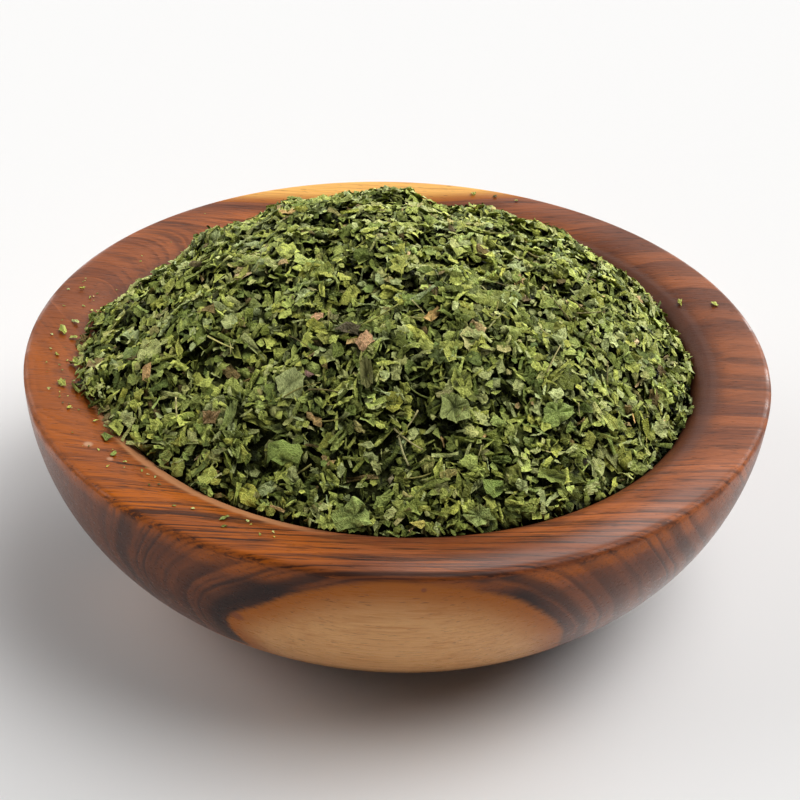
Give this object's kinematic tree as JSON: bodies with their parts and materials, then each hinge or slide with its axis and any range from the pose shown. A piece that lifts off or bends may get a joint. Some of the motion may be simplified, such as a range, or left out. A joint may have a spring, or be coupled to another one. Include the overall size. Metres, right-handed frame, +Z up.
{
  "type": "wooden bowl of dried parsley",
  "caption": "Turned wooden bowl with a thick crowned rim, heaped with dried, cut parsley leaf; stands on its round foot.",
  "frame": {"origin": "centre of the bowl's foot, on the surface it stands on", "axes": "+Z up through the bowl's middle, -Y towards the side with the large patch of sapwood, which the picture shows in front"},
  "size_m": [0.182, 0.182, 0.0893],
  "materials": {
    "wood": "oiled, satin, red-brown heartwood with pale sapwood",
    "dried_leaf": "dry, matt, crumpled leaf"
  },
  "bodies": {
    "root": {"bowl": "wood", "parsley_heap": "dried_leaf", "rim_flake_1": "dried_leaf", "rim_flake_2": "dried_leaf", "rim_flake_3": "dried_leaf", "rim_flake_4": "dried_leaf", "rim_flake_5": "dried_leaf", "rim_flake_6": "dried_leaf", "rim_flake_7": "dried_leaf", "rim_flake_8": "dried_leaf"}
  },
  "joints": []
}
